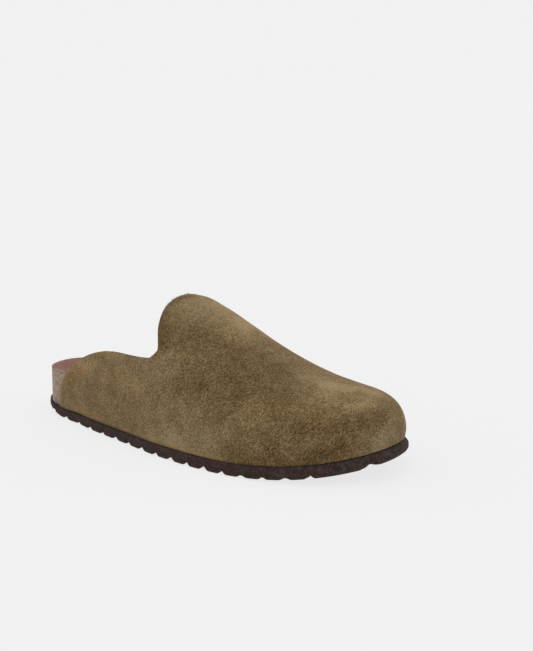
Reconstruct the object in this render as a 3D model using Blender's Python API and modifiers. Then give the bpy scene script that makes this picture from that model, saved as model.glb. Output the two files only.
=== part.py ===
"""Suede mule for the right foot, standing empty on its sole.

Four pieces that a shoemaker puts together: a ribbed outsole, a cork footbed, a lined insole and a
one-piece upper. +X points to the toe, +Y to the inner side of the foot and +Z up. The origin lies on
the floor under the middle of the shoe. Sizes are in millimetres, and become metres as vertices are made.
A station is a distance along the shoe from the back of the heel.
"""

import math
from collections import namedtuple

import bmesh
import bpy
from mathutils import Vector

MM = 0.001

# Driving dimensions
LENGTH = 284.0
BALL_WIDTH = 110.0
HEEL_WIDTH = 66.0
WALL = 2.2
CLEARANCE = 0.3
SLANT_ROOM = 0.4

# Where the plan's round ends begin, and how square each of them is
HEEL_ROUND = 42.0
HEEL_POWER = 2.1
LATERAL_BALL = 178.0
LATERAL_POWER = 2.0
MEDIAL_BALL = 224.0
MEDIAL_POWER = 2.2
TOE_TIP_SIDE = 8.4

# Sole heights
HEEL_THICKNESS = 6.2
TOE_THICKNESS = 8.6
TOE_SPRING = 12.2
TOE_SPRING_POWER = 2.5
SPRING_START = 185.0
HEEL_LIFT = 4.8
HEEL_LIFT_END = 36.0
HEEL_BEVEL = 2.6
HEEL_BEVEL_END = 26.0

# Half widths of the sole along the shank, from the long axis
Plan = namedtuple("Plan", "station lateral medial")
PLAN = (
    Plan(0, HEEL_WIDTH / 2 - 2, HEEL_WIDTH / 2 + 1),
    Plan(36, HEEL_WIDTH / 2 - 2, HEEL_WIDTH / 2 + 2),
    Plan(68, 38.0, 35.5),
    Plan(104, 45.0, 34.5),
    Plan(140, 52.0, 38.5),
    Plan(LATERAL_BALL, BALL_WIDTH / 2, 47.5),
    Plan(MEDIAL_BALL, BALL_WIDTH / 2, BALL_WIDTH / 2),
    Plan(LENGTH, BALL_WIDTH / 2, BALL_WIDTH / 2),
)

# How far an outline lies inside the sole's, at its sides, toe and heel
Inset = namedtuple("Inset", "side toe heel")
SOLE_TOP = Inset(0.8, 1.4, 1.2)
SOLE_RIM = Inset(0.0, 0.0, 0.0)
SOLE_TREAD = Inset(1.6, 3.2, 1.8)
UPPER_OUTSIDE = Inset(1.6, 1.5, 1.6)
FOOTBED_EDGE = Inset(UPPER_OUTSIDE.side + WALL + CLEARANCE + SLANT_ROOM, 8.5, 1.6)
HEEL_FLUSH = (12.0, 24.0)

# Sections of the upper: ridge height above the floor, ridge offset to the inner side, and fullness
# (2 is an ellipse, more is squarer). Behind the tongue the ridge is only a guide for the side walls.
Section = namedtuple("Section", "station ridge side fullness")
SECTIONS = (
    Section(0, 99.0, 0.0, 2.3),
    Section(90, 98.2, 1.0, 2.3),
    Section(117, 96.6, 2.0, 2.25),
    Section(132, 95.7, 3.0, 2.2),
    Section(147, 90.3, 4.0, 2.2),
    Section(165, 80.9, 5.4, 2.2),
    Section(182, 71.4, 6.6, 2.2),
    Section(208, 59.7, 7.8, 2.25),
    Section(229, 53.7, 8.4, 2.35),
    Section(250, 50.5, TOE_TIP_SIDE, 2.45),
    Section(LENGTH, 48.5, TOE_TIP_SIDE, 2.5),
)
TOE_BOX_START = 250.0
TOE_BOX_POWER = 3.0

# The upper's free edge on each side: climb is the angle round the section, 0 at the sole and 90 on the ridge
Collar = namedtuple("Collar", "station climb")
TONGUE = (
    Collar(120.0, 66.0),
    Collar(120.4, 78.0),
    Collar(121.4, 90),
)
LATERAL_COLLAR = (
    Collar(24.5, 0),
    Collar(28.5, 8.1),
    Collar(37.5, 16.4),
    Collar(57, 24.8),
    Collar(80, 30.5),
    Collar(105, 32.4),
    Collar(122.6, 34.4),
    Collar(126.6, 36.3),
    Collar(129.0, 38.5),
    Collar(129.6, 41.5),
    Collar(123.1, 53.0),
    *TONGUE,
)
MEDIAL_COLLAR = (
    Collar(46, 0),
    Collar(50, 7.1),
    Collar(60, 14.3),
    Collar(76, 22.6),
    Collar(92, 28.6),
    Collar(108, 32.0),
    Collar(121.4, 34.6),
    Collar(125.2, 36.6),
    Collar(127.6, 38.8),
    Collar(128.2, 41.5),
    Collar(122.6, 53.0),
    *TONGUE,
)
COLLAR_CROWDING = 1.7
SPREAD_END = 0.55

# Insole top: height at the middle of the foot and at the two rims
Seat = namedtuple("Seat", "station middle lateral medial")
SEATS = (
    Seat(FOOTBED_EDGE.heel, 32.2, 32.2, 32.2),
    Seat(10, 27.5, 32.6, 31.6),
    Seat(26, 22.0, 33.6, 32.0),
    Seat(48, 19.8, 33.6, 34.4),
    Seat(80, 22.0, 33.0, 40.0),
    Seat(112, 24.5, 31.0, 42.0),
    Seat(150, 22.5, 27.0, 35.0),
    Seat(186, 18.5, 23.5, 25.0),
    Seat(220, 18.0, 21.5, 22.0),
    Seat(250, 21.0, 23.0, 23.0),
    Seat(LENGTH - FOOTBED_EDGE.toe, 28.0, 28.0, 28.0),
)
DISH_POWER = 2.4
INSOLE_THICKNESS = 1.2

# Tread: grooves across the sole, which close up a little more from each to the next towards the toe
GROOVE_FIRST = 4.9
GROOVE_PITCH = 15.67
GROOVE_CLOSING = 0.085
GROOVE_COUNT = 18
TOE_GROOVE = 275.0
Groove = namedtuple("Groove", "depth half_width")
GROOVE_PROFILE = (
    Groove(-1.0, 3.5),
    Groove(0.7, 1.7),
    Groove(1.8, 1.2),
    Groove(2.6, 0.6),
)

# Mesh density
UPPER_ROWS = 4 * (len(LATERAL_COLLAR) - 1)
UPPER_COLUMNS = 34
SOLE_COLUMNS = 44
SOLE_ROWS = 6
FOOTBED_COLUMNS = 34
FOOTBED_ROWS = 10

Finish = namedtuple("Finish", "name colour roughness metallic")
SUEDE = Finish("olive_suede", (0.155, 0.108, 0.050), 0.95, 0.0)
CORK = Finish("sealed_cork", (0.400, 0.320, 0.270), 0.75, 0.0)
INSOLE_LEATHER = Finish("insole_leather", (0.330, 0.150, 0.120), 0.85, 0.0)
FOAM_RUBBER = Finish("dark_foam_rubber", (0.036, 0.026, 0.025), 0.65, 0.0)


def smooth(rows, column, station):
    """Value of a table's column at a station, on a cubic that never overshoots its rows."""
    xs = [row.station for row in rows]
    ys = [getattr(row, column) for row in rows]
    if station <= xs[0]:
        return ys[0]
    if station >= xs[-1]:
        return ys[-1]
    steps = [(ys[i + 1] - ys[i]) / (xs[i + 1] - xs[i]) for i in range(len(xs) - 1)]

    def slope(i):
        if i in (0, len(xs) - 1) or steps[i - 1] * steps[i] <= 0:
            return 0.0
        return 2 * steps[i - 1] * steps[i] / (steps[i - 1] + steps[i])

    i = max(k for k in range(len(xs) - 1) if xs[k] <= station)
    width = xs[i + 1] - xs[i]
    t = (station - xs[i]) / width
    blend = t * t * (3 - 2 * t)
    start = t * (1 - t) ** 2 * width * slope(i)
    end = t * t * (t - 1) * width * slope(i + 1)
    return ys[i] + (ys[i + 1] - ys[i]) * blend + start + end


def ease(low, high, value):
    """0 below low, 1 above high, smooth between them."""
    t = min(max((value - low) / (high - low), 0.0), 1.0)
    return t * t * (3 - 2 * t)


def rounded(share, power):
    """Height of a quarter superellipse: 1 up to share 0, and 0 at share 1."""
    return (1 - min(max(share, 0.0), 1.0) ** power) ** (1 / power)


def plan_edges(station, inset):
    """Lateral and medial edge of the outline at a station, for an outline that lies inside the sole's."""
    span = LENGTH - inset.toe - inset.heel
    along = min(max((station - inset.heel) / span, 0.0), 1.0) * LENGTH
    heel = rounded((HEEL_ROUND - along) / HEEL_ROUND, HEEL_POWER)
    lateral_toe = rounded((along - LATERAL_BALL) / (LENGTH - LATERAL_BALL), LATERAL_POWER)
    medial_toe = rounded((along - MEDIAL_BALL) / (LENGTH - MEDIAL_BALL), MEDIAL_POWER)
    lateral = (inset.side - smooth(PLAN, "lateral", along)) * heel
    medial = (smooth(PLAN, "medial", along) - inset.side) * heel
    return (
        TOE_TIP_SIDE + (lateral - TOE_TIP_SIDE) * lateral_toe,
        TOE_TIP_SIDE + (medial - TOE_TIP_SIDE) * medial_toe,
    )


def sole_line(station):
    """Height of an even sole's underside: flat from heel to ball, rising at the toe and a little at the back."""
    spring = max(station - SPRING_START, 0.0) / (LENGTH - SPRING_START)
    lift = max(HEEL_LIFT_END - station, 0.0) / HEEL_LIFT_END
    return TOE_SPRING * spring**TOE_SPRING_POWER + HEEL_LIFT * lift**2


def tread_height(station):
    """Height of the tread: the sole's underside, ground away to a bevel at the back of the heel."""
    bevel = max(HEEL_BEVEL_END - station, 0.0) / HEEL_BEVEL_END
    return sole_line(station) + HEEL_BEVEL * bevel**2


def sole_top(station):
    """Height of the face that the footbed and the upper stand on."""
    return sole_line(station) + HEEL_THICKNESS + (TOE_THICKNESS - HEEL_THICKNESS) * station / LENGTH


def section(station, inset, drop=0.0):
    """The upper's section at a station: seat height, ridge height, ridge side, both edges and fullness."""
    seat = sole_top(station) + CLEARANCE
    tip = LENGTH - inset.toe
    toe_box = rounded((station - TOE_BOX_START) / (tip - TOE_BOX_START), TOE_BOX_POWER)
    ridge = seat + (smooth(SECTIONS, "ridge", station) - drop - seat) * toe_box
    lateral, medial = plan_edges(station, inset)
    side = smooth(SECTIONS, "side", station)
    return seat, ridge, side, lateral, medial, smooth(SECTIONS, "fullness", station)


def upper_point(station, climb):
    """Point of the upper's outside, at an angle that goes from 0 (lateral) over 90 to 180 (medial)."""
    seat, ridge, side, lateral, medial, fullness = section(station, UPPER_OUTSIDE)
    angle = math.radians(climb)
    reach = abs(math.cos(angle)) ** (2 / fullness)
    height = max(math.sin(angle), 0.0) ** (2 / fullness)
    edge = lateral if climb < 90 else medial
    return place(station, side + (edge - side) * reach, seat + (ridge - seat) * height)


def inner_edges(station, height):
    """Both edges of what fills the upper at a height: inside its wall, and inside the footbed's own outline."""
    out = ease(*HEEL_FLUSH, station)
    side_inset = FOOTBED_EDGE.heel + (FOOTBED_EDGE.side - FOOTBED_EDGE.heel) * out
    wall = Inset(side_inset, UPPER_OUTSIDE.toe + WALL + CLEARANCE, FOOTBED_EDGE.heel)
    seat, ridge, side, lateral, medial, fullness = section(station, wall, WALL)
    reach = rounded((height - seat) / (ridge - seat), fullness)
    own = plan_edges(station, FOOTBED_EDGE._replace(side=side_inset))
    return max(side + (lateral - side) * reach, own[0]), min(side + (medial - side) * reach, own[1])


def place(station, side, height):
    """A station, side and height in millimetres as a point of the part's own frame."""
    return Vector((station - LENGTH / 2, side, height)) * MM


def end_spaced(share):
    """Shares from 0 to 1 that crowd towards both ends, where the outline turns."""
    return 0.5 - 0.5 * math.cos(math.pi * share)


def material(finish):
    """Principled material of a finish."""
    made = bpy.data.materials.new(finish.name)
    made.use_nodes = True
    shader = made.node_tree.nodes["Principled BSDF"]
    shader.inputs["Base Color"].default_value = (*finish.colour, 1.0)
    shader.inputs["Roughness"].default_value = finish.roughness
    shader.inputs["Metallic"].default_value = finish.metallic
    made.diffuse_color = (*finish.colour, 1.0)
    return made


def add_piece(name, mesh, finish, collection):
    """A mesh as a named, shaded object of the shoe."""
    piece = bpy.data.objects.new(name, mesh)
    collection.objects.link(piece)
    mesh.materials.append(material(finish))
    mesh.shade_smooth()
    mesh.set_sharp_from_angle(angle=math.radians(40))
    return piece


def warped_grid(columns, rows, levels):
    """A grid warped to the first level and, where there are more, extruded through them to a closed solid.

    Each level is a function of (along, across), both from 0 to 1, and gives a point.
    """
    bm = bmesh.new()
    bmesh.ops.create_grid(bm, x_segments=columns, y_segments=rows, size=0.5)
    share = bm.verts.layers.float_vector.new("share")
    for vert in bm.verts:
        vert[share] = Vector((vert.co.x + 0.5, vert.co.y + 0.5, 0))
        vert.co = levels[0](vert[share].x, vert[share].y)
    first = faces = bm.faces[:]
    for level in levels[1:]:
        made = bmesh.ops.extrude_face_region(bm, geom=faces)["geom"]
        if faces is not first:
            bmesh.ops.delete(bm, geom=faces, context="FACES_ONLY")
        faces = [item for item in made if isinstance(item, bmesh.types.BMFace)]
        for vert in (item for item in made if isinstance(item, bmesh.types.BMVert)):
            vert.co = level(vert[share].x, vert[share].y)
    bmesh.ops.remove_doubles(bm, verts=bm.verts, dist=0.00001)
    if len(levels) > 1:
        bmesh.ops.recalc_face_normals(bm, faces=bm.faces)
    return bm


def to_mesh(name, bm):
    """The mesh of a bmesh, which is freed."""
    mesh = bpy.data.meshes.new(name)
    bm.to_mesh(mesh)
    bm.free()
    return mesh


def collar_point(rows, share):
    """Station and climb on a free edge, share 0 at the sole and 1 on the ridge, by a smooth curve through the rows."""
    points = [Vector((row.station, row.climb)) for row in rows]
    i = min(int(share * (len(points) - 1)), len(points) - 2)
    t = share * (len(points) - 1) - i

    def tangent(k):
        if k == len(points) - 1:
            return Vector((0, points[k].y - points[k - 1].y))
        return (points[k + 1] - points[max(k - 1, 0)]) / 2

    blend = t * t * (3 - 2 * t)
    bend = tangent(i) * (t * (1 - t) ** 2) + tangent(i + 1) * (t * t * (t - 1))
    return points[i].lerp(points[i + 1], blend) + bend


def upper_surface(along, across):
    """The upper's outside: along goes from the free edge to the toe tip, across from lateral to medial."""
    tip = LENGTH - UPPER_OUTSIDE.toe
    if across <= 0.5:
        station, climb = collar_point(LATERAL_COLLAR, 2 * across)
    else:
        station, climb = collar_point(MEDIAL_COLLAR, 2 - 2 * across)
        climb = 180 - climb
    forward = 1 - (1 - along) ** COLLAR_CROWDING
    spread = ease(0, SPREAD_END, along)
    return upper_point(
        station + (tip - station) * forward,
        climb + (180 * across - climb) * spread,
    )


def make_upper(collection):
    """One piece of suede, pulled round the footbed and over the instep to a round tongue."""
    bm = warped_grid(UPPER_COLUMNS, UPPER_ROWS, [upper_surface])
    upper = add_piece("upper", to_mesh("upper", bm), SUEDE, collection)
    wall = upper.modifiers.new("wall", "SOLIDIFY")
    wall.thickness = WALL * MM
    wall.offset = -1
    wall.use_even_offset = True
    wall.use_quality_normals = True
    return upper


def sole_level(inset, height):
    """A level of the outsole: its outline lies inside the sole's, at a height that follows the station."""

    def level(along, across):
        station = inset.heel + (LENGTH - inset.toe - inset.heel) * end_spaced(along)
        lateral, medial = plan_edges(station, inset)
        return place(station, lateral + (medial - lateral) * across, height(station))

    return level


def groove_cutters(collection):
    """Bars that cut the tread across, each with a flared mouth so that the ribs between them are rounded."""
    bm = bmesh.new()
    stations = [GROOVE_FIRST + GROOVE_PITCH * k - GROOVE_CLOSING * k * k for k in range(GROOVE_COUNT)]
    stations.append(TOE_GROOVE)
    for station in stations:
        outline = [(groove.half_width, groove.depth) for groove in GROOVE_PROFILE]
        outline += [(-half, depth) for half, depth in reversed(outline)]
        verts = [
            bm.verts.new(place(station + along, -BALL_WIDTH, tread_height(station + along) + depth))
            for along, depth in outline
        ]
        face = bm.faces.new(verts)
        bar = bmesh.ops.extrude_face_region(bm, geom=[face])["geom"]
        moved = [item for item in bar if isinstance(item, bmesh.types.BMVert)]
        bmesh.ops.translate(bm, verts=moved, vec=Vector((0, 2 * BALL_WIDTH * MM, 0)))
    bmesh.ops.recalc_face_normals(bm, faces=bm.faces)
    cutter = bpy.data.objects.new("tread_grooves", to_mesh("tread_grooves", bm))
    cutter.hide_render = True
    cutter.display_type = "WIRE"
    collection.objects.link(cutter)
    return cutter


def make_outsole(collection, cutters):
    """Foam rubber sole with a slightly proud rim and a tread of ribs across it."""
    levels = [
        sole_level(SOLE_TOP, sole_top),
        sole_level(SOLE_RIM, lambda station: 0.5 * (sole_top(station) + tread_height(station))),
        sole_level(SOLE_TREAD, tread_height),
    ]
    bm = warped_grid(SOLE_COLUMNS, SOLE_ROWS, levels)
    outsole = add_piece("outsole", to_mesh("outsole", bm), FOAM_RUBBER, collection)
    tread = outsole.modifiers.new("tread", "BOOLEAN")
    tread.operation = "DIFFERENCE"
    tread.object = groove_cutters(cutters)
    return outsole


def insole_level(drop):
    """A level of the insole or footbed, a distance below the insole's top."""

    def level(along, across):
        span = LENGTH - FOOTBED_EDGE.toe - FOOTBED_EDGE.heel
        station = FOOTBED_EDGE.heel + span * end_spaced(along)
        middle = smooth(SEATS, "middle", station)
        rims = smooth(SEATS, "lateral", station), smooth(SEATS, "medial", station)
        lateral = inner_edges(station, rims[0])[0]
        medial = inner_edges(station, rims[1])[1]
        n = 2 * across - 1
        rim = rims[0] if n < 0 else rims[1]
        height = middle + (rim - middle) * abs(n) ** DISH_POWER
        return place(station, lateral + (medial - lateral) * across, height - drop)

    return level


def footbed_base(along, across):
    """The footbed's underside, just above the outsole."""
    span = LENGTH - FOOTBED_EDGE.toe - FOOTBED_EDGE.heel
    station = FOOTBED_EDGE.heel + span * end_spaced(along)
    height = sole_top(station) + CLEARANCE
    lateral, medial = inner_edges(station, height)
    return place(station, lateral + (medial - lateral) * across, height)


def make_insole(collection):
    """Thin leather-lined sheet, dished at the heel and raised under the arch."""
    levels = [insole_level(0.0), insole_level(INSOLE_THICKNESS)]
    bm = warped_grid(FOOTBED_COLUMNS, FOOTBED_ROWS, levels)
    return add_piece("insole", to_mesh("insole", bm), INSOLE_LEATHER, collection)


def make_footbed(collection):
    """Cork block that fills the space between insole and outsole and shows at the back of the heel."""
    levels = [insole_level(INSOLE_THICKNESS + CLEARANCE), footbed_base]
    bm = warped_grid(FOOTBED_COLUMNS, FOOTBED_ROWS, levels)
    return add_piece("footbed", to_mesh("footbed", bm), CORK, collection)


def main():
    for old in list(bpy.data.objects):
        bpy.data.objects.remove(old)
    shoe = bpy.data.collections.new("suede_mule")
    cutters = bpy.data.collections.new("cutters")
    bpy.context.scene.collection.children.link(shoe)
    bpy.context.scene.collection.children.link(cutters)
    make_outsole(shoe, cutters)
    make_footbed(shoe)
    make_insole(shoe)
    make_upper(shoe)


main()
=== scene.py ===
"""Looks of a suede mule for the right foot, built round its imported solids.

The shoe points to +X, its inner side is +Y, and it stands on the floor at Z 0. Shapes are worked out
in millimetres: a station is a distance along the shoe from the back of the heel.
"""

import math
import random
from collections import namedtuple

import bmesh
import bpy
import numpy as np
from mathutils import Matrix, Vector, noise


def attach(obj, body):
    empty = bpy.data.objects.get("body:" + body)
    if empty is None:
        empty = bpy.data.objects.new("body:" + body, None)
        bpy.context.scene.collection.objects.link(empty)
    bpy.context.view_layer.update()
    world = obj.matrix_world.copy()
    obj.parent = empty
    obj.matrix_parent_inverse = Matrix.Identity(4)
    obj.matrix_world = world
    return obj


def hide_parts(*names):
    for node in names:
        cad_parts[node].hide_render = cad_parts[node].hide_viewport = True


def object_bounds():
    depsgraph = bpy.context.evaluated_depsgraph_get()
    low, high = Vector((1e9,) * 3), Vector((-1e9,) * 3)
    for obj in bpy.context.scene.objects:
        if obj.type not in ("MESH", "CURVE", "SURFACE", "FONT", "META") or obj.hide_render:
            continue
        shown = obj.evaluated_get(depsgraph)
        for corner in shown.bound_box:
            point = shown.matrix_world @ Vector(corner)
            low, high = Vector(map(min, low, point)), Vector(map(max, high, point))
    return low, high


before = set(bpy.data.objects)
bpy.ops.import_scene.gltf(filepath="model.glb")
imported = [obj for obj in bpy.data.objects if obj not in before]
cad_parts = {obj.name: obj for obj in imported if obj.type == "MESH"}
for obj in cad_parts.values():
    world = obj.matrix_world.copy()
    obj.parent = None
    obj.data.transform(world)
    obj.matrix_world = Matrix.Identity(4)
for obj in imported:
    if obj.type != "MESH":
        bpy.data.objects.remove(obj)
CAD_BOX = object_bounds()

# Outsole
# A sheet of dark brown foam rubber, cut to the sole's outline and glued under the footbed.
# Its edge is buffed round, and wavy ribs across the tread leave a scalloped lower edge.

MM = 0.001
LENGTH = (CAD_BOX[1].x - CAD_BOX[0].x) / MM
BALL_WIDTH = (CAD_BOX[1].y - CAD_BOX[0].y) / MM
HEEL_WIDTH = 66.0
HEEL_ROUND = 42.0
HEEL_POWER = 2.1
LATERAL_BALL = 178.0
LATERAL_POWER = 2.0
MEDIAL_BALL = 224.0
MEDIAL_POWER = 2.2
TOE_TIP_SIDE = 8.4
HEEL_THICKNESS = 6.2
TOE_THICKNESS = 8.6
TOE_SPRING = 12.2
TOE_SPRING_POWER = 2.5
SPRING_START = 185.0
HEEL_LIFT = 4.8
HEEL_LIFT_END = 36.0
HEEL_BEVEL = 3.0
HEEL_BEVEL_END = 38.0
GROOVE_FIRST = 4.4
GROOVE_PITCH = 15.3
GROOVE_CLOSING = 0.055
GROOVE_COUNT = 18
TOE_GROOVE = 275.5
GROOVE_FLOOR = 0.3
WAVE_REACH = 2.2
WAVE_LENGTH = 21.0
WAVE_FADE = (1.0, 12.0)
OUTSOLE_COLUMNS = 480
OUTSOLE_ROWS = 36
OUTSOLE_SHARP = math.radians(50)
MERGE_GAP = 0.000005

Plan = namedtuple("Plan", "station lateral medial")
PLAN = (
    Plan(0, HEEL_WIDTH / 2 - 2, HEEL_WIDTH / 2 + 1),
    Plan(36, HEEL_WIDTH / 2 - 2, HEEL_WIDTH / 2 + 2),
    Plan(68, 38.0, 35.5),
    Plan(104, 45.0, 34.5),
    Plan(140, 52.0, 38.5),
    Plan(LATERAL_BALL, BALL_WIDTH / 2, 47.5),
    Plan(MEDIAL_BALL, BALL_WIDTH / 2, BALL_WIDTH / 2),
    Plan(LENGTH, BALL_WIDTH / 2, BALL_WIDTH / 2),
)
Inset = namedtuple("Inset", "side toe heel")
TREAD = Inset(2.2, 3.4, 2.4)

# Every second groove has a wide mouth, and those between them are narrow
Groove = namedtuple("Groove", "depth mouth")
GROOVE_CUTS = (Groove(2.9, 4.0), Groove(3.4, 3.2))
GROOVE_CENTRES = [GROOVE_FIRST + GROOVE_PITCH * k - GROOVE_CLOSING * k * k for k in range(GROOVE_COUNT)]
GROOVE_CENTRES.append(TOE_GROOVE)

# What walking has left of the grooves' depth, least under the ball of the foot
Wear = namedtuple("Wear", "station left")
TREAD_WEAR = (
    Wear(0, 0.70),
    Wear(60, 0.80),
    Wear(90, 1.0),
    Wear(180, 1.0),
    Wear(206, 0.48),
    Wear(232, 0.38),
    Wear(247, 0.85),
    Wear(LENGTH, 0.85),
)

# The edge's profile from the tread up: how far each level lies inside the outline, and its share of
# the height
Edge = namedtuple("Edge", "side toe heel share")
OUTSOLE_EDGE = (
    Edge(1.2, 2.4, 1.6, 0.03),
    Edge(0.5, 1.0, 0.8, 0.12),
    Edge(0.1, 0.1, 0.2, 0.28),
    Edge(0.0, 0.2, 0.0, 0.46),
    Edge(0.2, 0.9, 0.3, 0.62),
    Edge(0.7, 1.9, 1.0, 0.86),
    Edge(1.0, 2.5, 1.4, 0.97),
    Edge(1.4, 3.0, 1.8, 1.0),
)


def smooth(rows, column, station):
    """Value of a table's column at a station, on a cubic that never overshoots its rows."""
    xs = [row.station for row in rows]
    ys = [getattr(row, column) for row in rows]
    if station <= xs[0]:
        return ys[0]
    if station >= xs[-1]:
        return ys[-1]
    i = max(k for k in range(len(xs) - 1) if xs[k] <= station)

    def slope(k):
        if k in (0, len(xs) - 1):
            return 0.0
        before = (ys[k] - ys[k - 1]) / (xs[k] - xs[k - 1])
        after = (ys[k + 1] - ys[k]) / (xs[k + 1] - xs[k])
        return 2 * before * after / (before + after) if before * after > 0 else 0.0

    width = xs[i + 1] - xs[i]
    t = (station - xs[i]) / width
    start = t * (1 - t) ** 2 * width * slope(i)
    end = t * t * (t - 1) * width * slope(i + 1)
    return ys[i] + (ys[i + 1] - ys[i]) * t * t * (3 - 2 * t) + start + end


def ease(low, high, value):
    """0 below low, 1 above high, smooth between them."""
    t = min(max((value - low) / (high - low), 0.0), 1.0)
    return t * t * (3 - 2 * t)


def rounded(share, power):
    """Height of a quarter superellipse: 1 up to share 0, and 0 at share 1."""
    return (1 - min(max(share, 0.0), 1.0) ** power) ** (1 / power)


def plan_edges(station, inset):
    """Lateral and medial edge of the outline at a station, for an outline that lies inside the sole's."""
    span = LENGTH - inset.toe - inset.heel
    along = min(max((station - inset.heel) / span, 0.0), 1.0) * LENGTH
    heel = rounded((HEEL_ROUND - along) / HEEL_ROUND, HEEL_POWER)
    lateral_toe = rounded((along - LATERAL_BALL) / (LENGTH - LATERAL_BALL), LATERAL_POWER)
    medial_toe = rounded((along - MEDIAL_BALL) / (LENGTH - MEDIAL_BALL), MEDIAL_POWER)
    lateral = (inset.side - smooth(PLAN, "lateral", along)) * heel
    medial = (smooth(PLAN, "medial", along) - inset.side) * heel
    return (
        TOE_TIP_SIDE + (lateral - TOE_TIP_SIDE) * lateral_toe,
        TOE_TIP_SIDE + (medial - TOE_TIP_SIDE) * medial_toe,
    )


def sole_line(station):
    """Height of an even sole's underside: flat in the middle, rising at the toe and at the back."""
    spring = max(station - SPRING_START, 0.0) / (LENGTH - SPRING_START)
    lift = max(HEEL_LIFT_END - station, 0.0) / HEEL_LIFT_END
    return TOE_SPRING * spring**TOE_SPRING_POWER + HEEL_LIFT * lift**2


def tread_height(station):
    """Height of the tread: the sole's underside, ground away to a bevel at the back of the heel."""
    bevel = max(HEEL_BEVEL_END - station, 0.0) / HEEL_BEVEL_END
    return sole_line(station) + HEEL_BEVEL * bevel


def sole_top(station):
    """Height of the face that the footbed and the upper stand on."""
    return sole_line(station) + HEEL_THICKNESS + (TOE_THICKNESS - HEEL_THICKNESS) * station / LENGTH


def place(station, side, height):
    """A station, side and height in millimetres as a point of the shoe, in metres."""
    return Vector((station - LENGTH / 2, side, height)) * MM


def end_spaced(share):
    """Shares from 0 to 1 that crowd towards both ends, where the outline turns."""
    return 0.5 - 0.5 * math.cos(math.pi * share)


def groove_depth(station, side):
    """How deep the tread is cut: wavy grooves with rounded lips that run out straight at the edge."""
    lateral, medial = plan_edges(station, TREAD)
    inside = ease(*WAVE_FADE, min(side - lateral, medial - side))
    wave = WAVE_REACH * inside * math.sin(2 * math.pi * side / WAVE_LENGTH)
    away, cut = min((abs(station - wave - centre), k % 2) for k, centre in enumerate(GROOVE_CENTRES))
    deep = GROOVE_CUTS[cut].depth * smooth(TREAD_WEAR, "left", station)
    return deep * (1 - ease(GROOVE_FLOOR, GROOVE_CUTS[cut].mouth, away))


def warped_grid(columns, rows, point):
    """A grid of shares from 0 to 1 along and across the shoe, moved to where point puts them."""
    bm = bmesh.new()
    bmesh.ops.create_grid(bm, x_segments=columns, y_segments=rows, size=0.5)
    share = bm.verts.layers.float_vector.new("share")
    for vert in bm.verts:
        vert[share] = Vector((vert.co.x + 0.5, vert.co.y + 0.5, 0))
        vert.co = point(vert[share].x, vert[share].y)
    return bm, share


def raise_rim(bm, share, levels):
    """Extrudes a grid's outline through levels, each a point function, and returns the last loop."""
    rim = [edge for edge in bm.edges if edge.is_boundary]
    for level in levels:
        made = bmesh.ops.extrude_edge_only(bm, edges=rim)["geom"]
        rim = [item for item in made if isinstance(item, bmesh.types.BMEdge)]
        for vert in (item for item in made if isinstance(item, bmesh.types.BMVert)):
            vert.co = level(vert[share].x, vert[share].y)
        rim = [edge for edge in rim if edge.is_boundary]
    return rim


def finish_piece(name, bm, finishes):
    """Turns a bmesh into a smooth piece of the shoe with its materials, riding on the one rigid body."""
    bmesh.ops.remove_doubles(bm, verts=bm.verts, dist=MERGE_GAP)
    bmesh.ops.recalc_face_normals(bm, faces=bm.faces)
    mesh = bpy.data.meshes.new(name)
    bm.to_mesh(mesh)
    bm.free()
    mesh.shade_smooth()
    for finish in finishes:
        mesh.materials.append(finish)
    piece = bpy.data.objects.new(name, mesh)
    bpy.context.scene.collection.objects.link(piece)
    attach(piece, "root")
    return piece


def tread_point(along, across):
    """The tread: flat ribs between wavy grooves."""
    station = TREAD.heel + (LENGTH - TREAD.toe - TREAD.heel) * end_spaced(along)
    lateral, medial = plan_edges(station, TREAD)
    side = lateral + (medial - lateral) * across
    return place(station, side, tread_height(station) + groove_depth(station, side))


def outsole_edge(edge):
    """One loop of the outsole's round edge, lifted where a groove runs out under it."""
    inset = Inset(edge.side, edge.toe, edge.heel)

    def level(along, across):
        station = inset.heel + (LENGTH - inset.toe - inset.heel) * end_spaced(along)
        side = plan_edges(station, inset)[0 if across < 0.5 else 1]
        low = tread_height(station) + groove_depth(station, side)
        return place(station, side, low + (sole_top(station) - low) * edge.share)

    return level


def put(tree, kind, inputs=(), **settings):
    """Adds a node; inputs map a socket's name or number to a value or to another node's output."""
    made = tree.nodes.new(kind)
    for name, value in settings.items():
        setattr(made, name, value)
    for socket, value in dict(inputs).items():
        if isinstance(value, bpy.types.NodeSocket):
            tree.links.new(value, made.inputs[socket])
        else:
            made.inputs[socket].default_value = value
    return made


def new_finish(name, roughness, **sockets):
    """A material, its node tree and its shader; sockets hold values that are the same all over."""
    finish = bpy.data.materials.new(name)
    finish.use_nodes = True
    shader = finish.node_tree.nodes["Principled BSDF"]
    shader.inputs["Roughness"].default_value = roughness
    for socket, value in sockets.items():
        shader.inputs[socket.replace("_", " ")].default_value = value
    return finish, finish.node_tree, shader


def maths(tree, operation, *values):
    """The output of one Math node."""
    return put(tree, "ShaderNodeMath", dict(enumerate(values)), operation=operation).outputs[0]


def spread(tree, value, low, high, to_low=0.0, to_high=1.0):
    """A value mapped from one range to another, and held at its ends."""
    ranges = {"Value": value, "From Min": low, "From Max": high, "To Min": to_low, "To Max": to_high}
    return put(tree, "ShaderNodeMapRange", ranges).outputs["Result"]


def blend(tree, share, first, second):
    """Two colours mixed by a share; colours are given as three linear values or an output."""
    colours = [c if isinstance(c, bpy.types.NodeSocket) else (*c, 1.0) for c in (first, second)]
    inputs = {"Factor": share, 6: colours[0], 7: colours[1]}
    return put(tree, "ShaderNodeMix", inputs, data_type="RGBA").outputs[2]


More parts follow.
